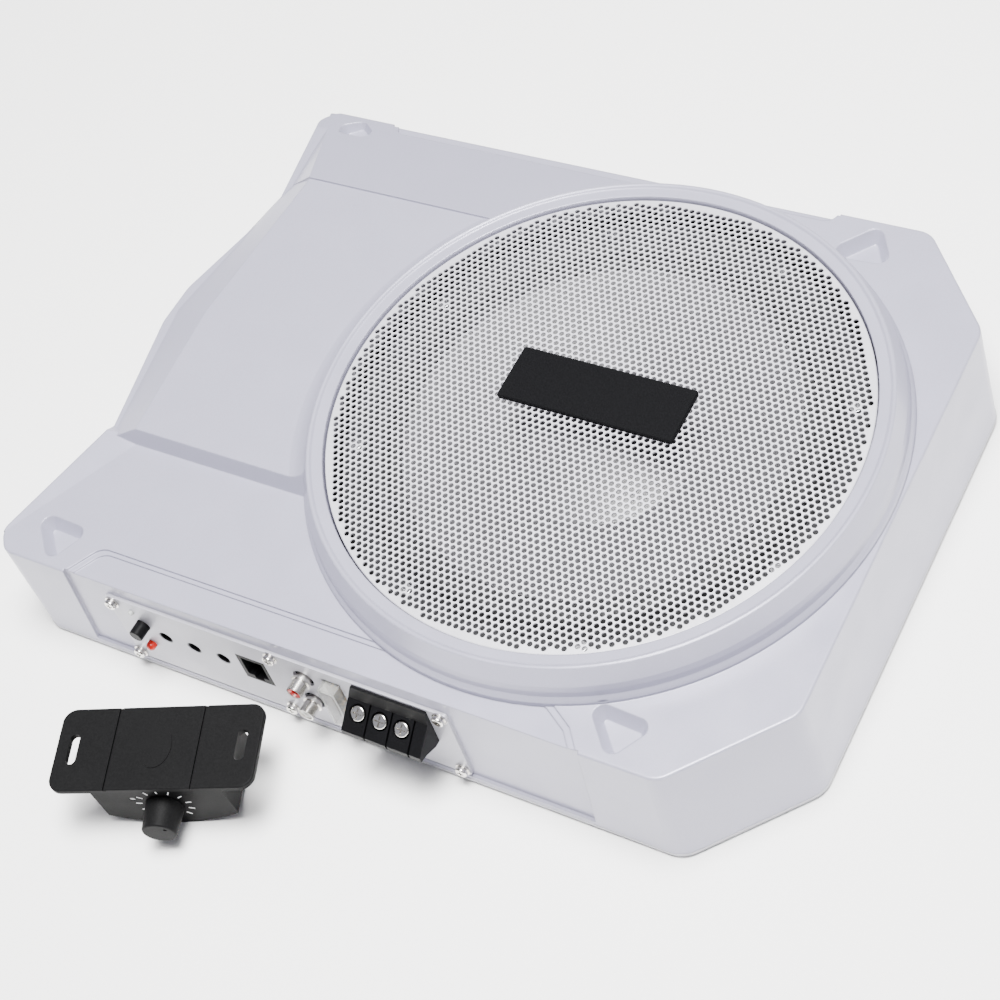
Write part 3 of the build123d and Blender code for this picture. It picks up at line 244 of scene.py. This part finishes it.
def perforated_grille():
    """One hexagonal cell a hole, cells beyond the edge drawn in to it, and a turned down rim."""
    points, faces, corners = [], [], {}

    def point(x, y, z):
        points.append((WOOFER.x + x, WOOFER.y + y, z))
        return len(points) - 1

    def corner(x, y):
        """A cell's corner, shared with its neighbours: (upper point, lower point)."""
        key = (round(2 * x / PITCH), round(2 * math.sqrt(3) * y / PITCH))
        if key not in corners:
            far = math.hypot(x, y)
            if far > SHEET_R:
                x, y = x * SHEET_R / far, y * SHEET_R / far
            z = dome(x, y)
            corners[key] = (point(x, y, z), point(x, y, z - SHEET_T), x, y)
        return corners[key]

    row_step = PITCH * math.sqrt(3) / 2
    rows = int(GRILLE_R / row_step) + 2
    edges = {}
    for row in range(-rows, rows + 1):
        for column in range(-rows - 2, rows + 3):
            cx = (column + (row % 2) / 2) * PITCH
            cy = row * row_step
            if math.hypot(cx, cy) > SHEET_R + PITCH:
                continue
            hexagon = []
            inside = False
            for turn in range(6):
                angle = math.radians(30 + 60 * turn)
                x = cx + PITCH / math.sqrt(3) * math.cos(angle)
                y = cy + PITCH / math.sqrt(3) * math.sin(angle)
                hexagon.append((x, y))
                inside = inside or math.hypot(x, y) < SHEET_R
            if not inside:
                continue
            held = [corner(x, y) for x, y in hexagon]
            for turn in range(6):
                first, second = held[turn], held[(turn + 1) % 6]
                edges.setdefault(tuple(sorted((first[0], second[0]))), []).append((first, second))
            if math.hypot(cx, cy) > SHEET_R - HOLE_R - SOLID_EDGE:
                faces.append([h[0] for h in held])
                faces.append([h[1] for h in reversed(held)])
                continue
            rings = []
            for radius, drop in ((HOLE_R + HOLE_EASE, 0), (HOLE_R, HOLE_EASE), (HOLE_R, SHEET_T)):
                ring = []
                for side in range(HOLE_SIDES):
                    angle = 2 * math.pi * side / HOLE_SIDES
                    x = cx + radius * math.cos(angle)
                    y = cy + radius * math.sin(angle)
                    ring.append(point(x, y, dome(x, y) - drop))
                rings.append(ring)
            for turn in range(6):
                side = 2 * turn + 1
                upper = [rings[0][(side + step) % HOLE_SIDES] for step in (2, 1, 0)]
                lower = [rings[2][(side + step) % HOLE_SIDES] for step in (0, 1, 2)]
                first, second = held[turn], held[(turn + 1) % 6]
                faces.append([first[0], second[0], *upper])
                faces.append([second[1], first[1], *lower])
            for upper, lower in zip(rings, rings[1:]):
                for side in range(HOLE_SIDES):
                    after = (side + 1) % HOLE_SIDES
                    faces.append([upper[side], upper[after], lower[after], lower[side]])
    # turned down rim round the free edge
    rim = ((GRILLE_R - 0.2 * MM, GRILLE_TOP - DOME_RISE - 0.2 * MM),
           (GRILLE_R, GRILLE_TOP - DOME_RISE - 0.9 * MM),
           (GRILLE_R, grille_low.z),
           (GRILLE_R - SHEET_T, grille_low.z),
           (GRILLE_R - SHEET_T, GRILLE_TOP - DOME_RISE - 1.6 * MM))
    skirts = {}

    def skirt(held):
        if held[0] not in skirts:
            far = math.hypot(held[2], held[3])
            skirts[held[0]] = [held[0], *(point(held[2] * r / far, held[3] * r / far, z)
                                          for r, z in rim), held[1]]
        return skirts[held[0]]

    for pairs in edges.values():
        if len(pairs) == 1:
            first, second = skirt(pairs[0][0]), skirt(pairs[0][1])
            for step in range(len(rim) + 1):
                faces.append([second[step], first[step], first[step + 1], second[step + 1]])
    made = piece("perforated_grille", points, faces, "enclosure", "grille_steel", smooth=False)
    bm = bmesh.new()
    bm.from_mesh(made.data)
    bmesh.ops.remove_doubles(bm, verts=bm.verts, dist=1e-7)
    bmesh.ops.dissolve_degenerate(bm, edges=bm.edges, dist=1e-7)
    bmesh.ops.recalc_face_normals(bm, faces=bm.faces)
    bm.to_mesh(made.data)
    bm.free()
    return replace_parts(made, "grille")


perforated_grille()


# ---------------------------------------------------------------- surround and spider

def soft_sectors(name, section, sectors, steps, node, slot_name):
    """A closed ring of the given section, cut in sectors."""
    slice_angle = 2 * math.pi / sectors
    first = None
    for number in range(sectors):
        points, faces = [], []
        count = len(section)
        for step in range(steps + 1):
            angle = slice_angle * (number + step / steps)
            for r, z in section:
                points.append((WOOFER.x + r * math.cos(angle), WOOFER.y + r * math.sin(angle), z))
        for step in range(steps):
            for i in range(count):
                j = (i + 1) % count
                faces.append([step * count + i, (step + 1) * count + i,
                              (step + 1) * count + j, step * count + j])
        made = piece(f"{name}_{number + 1:02d}", points, faces, None, slot_name)
        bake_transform(made)
        first = first or made
    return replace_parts(first, node)


def roll_section():
    """Half roll of rubber between the cone's rim and the basket's rim."""
    low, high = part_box("surround")
    outer = (high.x - low.x) / 2
    foot, rise = low.z, high.z - low.z
    roll_in, roll_out = outer - 13.4 * MM, outer - 3.4 * MM
    inner = outer - 18.8 * MM    # glued edge, 5.4 mm wide, on the cone's rim
    middle, half = (roll_in + roll_out) / 2, (roll_out - roll_in) / 2
    bends = 14
    upper = [(inner, foot + 2.1 * MM), (roll_in - 0.4 * MM, foot + 2.1 * MM)]
    lower = [(inner, foot + 1.2 * MM), (roll_in + 0.5 * MM, foot + 1.2 * MM)]
    for i in range(bends + 1):
        angle = math.pi * (1 - i / bends)
        upper.append((middle + half * math.cos(angle),
                      foot + 1.6 * MM + (rise - 1.6 * MM) * math.sin(angle)))
        lower.append((middle + (half - 0.9 * MM) * math.cos(angle),
                      foot + 0.9 * MM + (rise - 1.8 * MM) * math.sin(angle)))
    upper.append((outer, foot + 1.2 * MM))
    lower.append((outer, foot))
    return upper + list(reversed(lower))


def wave_section():
    """Five corrugations of dipped cloth between the coil's former and the basket."""
    low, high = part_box("spider")
    outer = (high.x - low.x) / 2
    inner = 37.6 * MM
    middle, thick, swing = (low.z + high.z) / 2, 0.8 * MM, 1.2 * MM
    wave_in, wave_out, waves, bends = 43 * MM, 74.5 * MM, 5, 60
    upper = [(inner, middle + thick / 2)]
    for i in range(bends + 1):
        r = wave_in + (wave_out - wave_in) * i / bends
        upper.append((r, middle + thick / 2 + swing * math.sin(2 * math.pi * waves * i / bends)))
    upper.append((outer, middle + thick / 2))
    return upper + [(r, z - thick) for r, z in reversed(upper)]


soft_sectors("surround_roll", roll_section(), 24, 6, "surround",
             "rubber")
soft_sectors("spider_cloth", wave_section(), 16, 8, "spider", "cloth")


# ---------------------------------------------------------------- printed scale

REMOTE_YAW = math.radians(21.9)
REMOTE_CENTRE = Vector((-80, -214, 0)) * MM
REMOTE_DEPTH = 38 * MM
KNOB_Z = 19 * MM
TICKS = 11
TICK_SPAN = math.radians(270)
TICK_IN, TICK_OUT, TICK_W, PRINT_T = 11.2 * MM, 14.2 * MM, 0.7 * MM, 0.08 * MM
side = Vector((math.cos(REMOTE_YAW), math.sin(REMOTE_YAW), 0))
ahead = Vector((math.sin(REMOTE_YAW), -math.cos(REMOTE_YAW), 0))
up = Vector((0, 0, 1))
knob_axis = REMOTE_CENTRE + ahead * (REMOTE_DEPTH / 2) + up * KNOB_Z


def printed_ticks():
    """Eleven printed ticks round the knob, three quarters of a turn."""
    points, faces = [], []
    for number in range(TICKS):
        angle = math.pi / 2 + TICK_SPAN / 2 - TICK_SPAN * number / (TICKS - 1)
        along = side * math.cos(angle) + up * math.sin(angle)
        across = side * -math.sin(angle) + up * math.cos(angle)
        start = len(points)
        for depth in (0.0, PRINT_T):
            for reach, half in ((TICK_IN, -1), (TICK_OUT, -1), (TICK_OUT, 1), (TICK_IN, 1)):
                points.append(knob_axis + along * reach + across * half * TICK_W / 2
                              + ahead * depth)
        faces.append([start + 3, start + 2, start + 1, start])
        faces.append([start + 4, start + 5, start + 6, start + 7])
        for k in range(4):
            n = (k + 1) % 4
            faces.append([start + k, start + n, start + 4 + n, start + 4 + k])
    return piece("printed_ticks", points, faces, "remote", "print_white", smooth=False)


printed_ticks()


# ---------------------------------------------------------------- floor, light and camera

def floor():
    """A pale plain floor under the object."""
    half = 3.0
    mesh = bpy.data.meshes.new("floor")
    mesh.from_pydata([(-half, -half, 0), (half, -half, 0), (half, half, 0), (-half, half, 0)], [],
                     [(0, 1, 2, 3)])
    obj = bpy.data.objects.new("floor", mesh)
    bpy.context.scene.collection.objects.link(obj)
    dress(obj, finish("floor_paper", (0.96, 0.955, 0.94), 0.9, 0.0, 0.01, 0.002, 0.00001))


def softbox(name, where, aim, width, height, watts, colour=(1, 1, 1)):
    """An area light at a point, turned to another."""
    data = bpy.data.lights.new(name, "AREA")
    data.shape = "RECTANGLE"
    data.size, data.size_y = width, height
    data.energy = watts
    data.color = colour
    lamp = bpy.data.objects.new(name, data)
    bpy.context.scene.collection.objects.link(lamp)
    lamp.location = where
    lamp.rotation_mode = "QUATERNION"
    lamp.rotation_quaternion = (Vector(aim) - Vector(where)).to_track_quat("-Z", "Y")


def camera():
    """At the viewing angle of the product picture: high on the front right corner, rolled."""
    azimuth, elevation, roll = math.radians(46.79), math.radians(52.15), math.radians(-23.44)
    back = Vector((math.sin(azimuth) * math.cos(elevation),
                   -math.cos(azimuth) * math.cos(elevation), math.sin(elevation)))
    level = Vector((math.cos(azimuth), math.sin(azimuth), 0))
    rise = back.cross(level)
    right = level * math.cos(roll) + rise * math.sin(roll)
    top = rise * math.cos(roll) - level * math.sin(roll)
    data = bpy.data.cameras.new("camera")
    data.lens = 74.67
    data.sensor_width = 36.0
    data.clip_start, data.clip_end = 0.01, 20
    cam = bpy.data.objects.new("camera", data)
    bpy.context.scene.collection.objects.link(cam)
    turn = Matrix((right, top, back)).transposed().to_4x4()
    cam.matrix_world = Matrix.Translation(Vector((0.4668, -0.4597, 0.8394))) @ turn
    bpy.context.scene.camera = cam


floor()
softbox("overhead", (0.20, -0.10, 1.5), (0.05, 0, 0.05), 0.5, 0.5, 58)
softbox("far_key", (0.4, -0.1, 3.0), (0, 0, 0), 1.6, 1.6, 235)
softbox("fill", (-0.5, -1.7, 0.8), (0, 0, 0.05), 1.8, 0.9, 1.5, (0.80, 0.84, 1.0))
softbox("side", (1.9, -0.2, 0.7), (0.1, 0, 0.05), 1.6, 0.9, 0.6, (0.75, 0.80, 1.0))
world = bpy.data.worlds.new("studio")
world.use_nodes = True


def backdrop(tree):
    """A pale room, brightest at the ceiling and softer towards the horizon."""
    where = tree.nodes.new("ShaderNodeTexCoord")
    split = tree.nodes.new("ShaderNodeSeparateXYZ")
    ramp = tree.nodes.new("ShaderNodeValToRGB")
    stops = ramp.color_ramp.elements
    stops[0].position, stops[0].color = 0.0, (0.35, 0.35, 0.42, 1)
    stops[1].position, stops[1].color = 1.0, (0.95, 0.95, 1.0, 1)
    middle = stops.new(0.35)
    middle.color = (0.50, 0.50, 0.57, 1)
    tree.links.new(where.outputs["Generated"], split.inputs["Vector"])
    tree.links.new(split.outputs["Z"], ramp.inputs["Fac"])
    tree.links.new(ramp.outputs["Color"], tree.nodes["Background"].inputs["Color"])
    tree.nodes["Background"].inputs["Strength"].default_value = 0.38


backdrop(world.node_tree)
bpy.context.scene.world = world
camera()
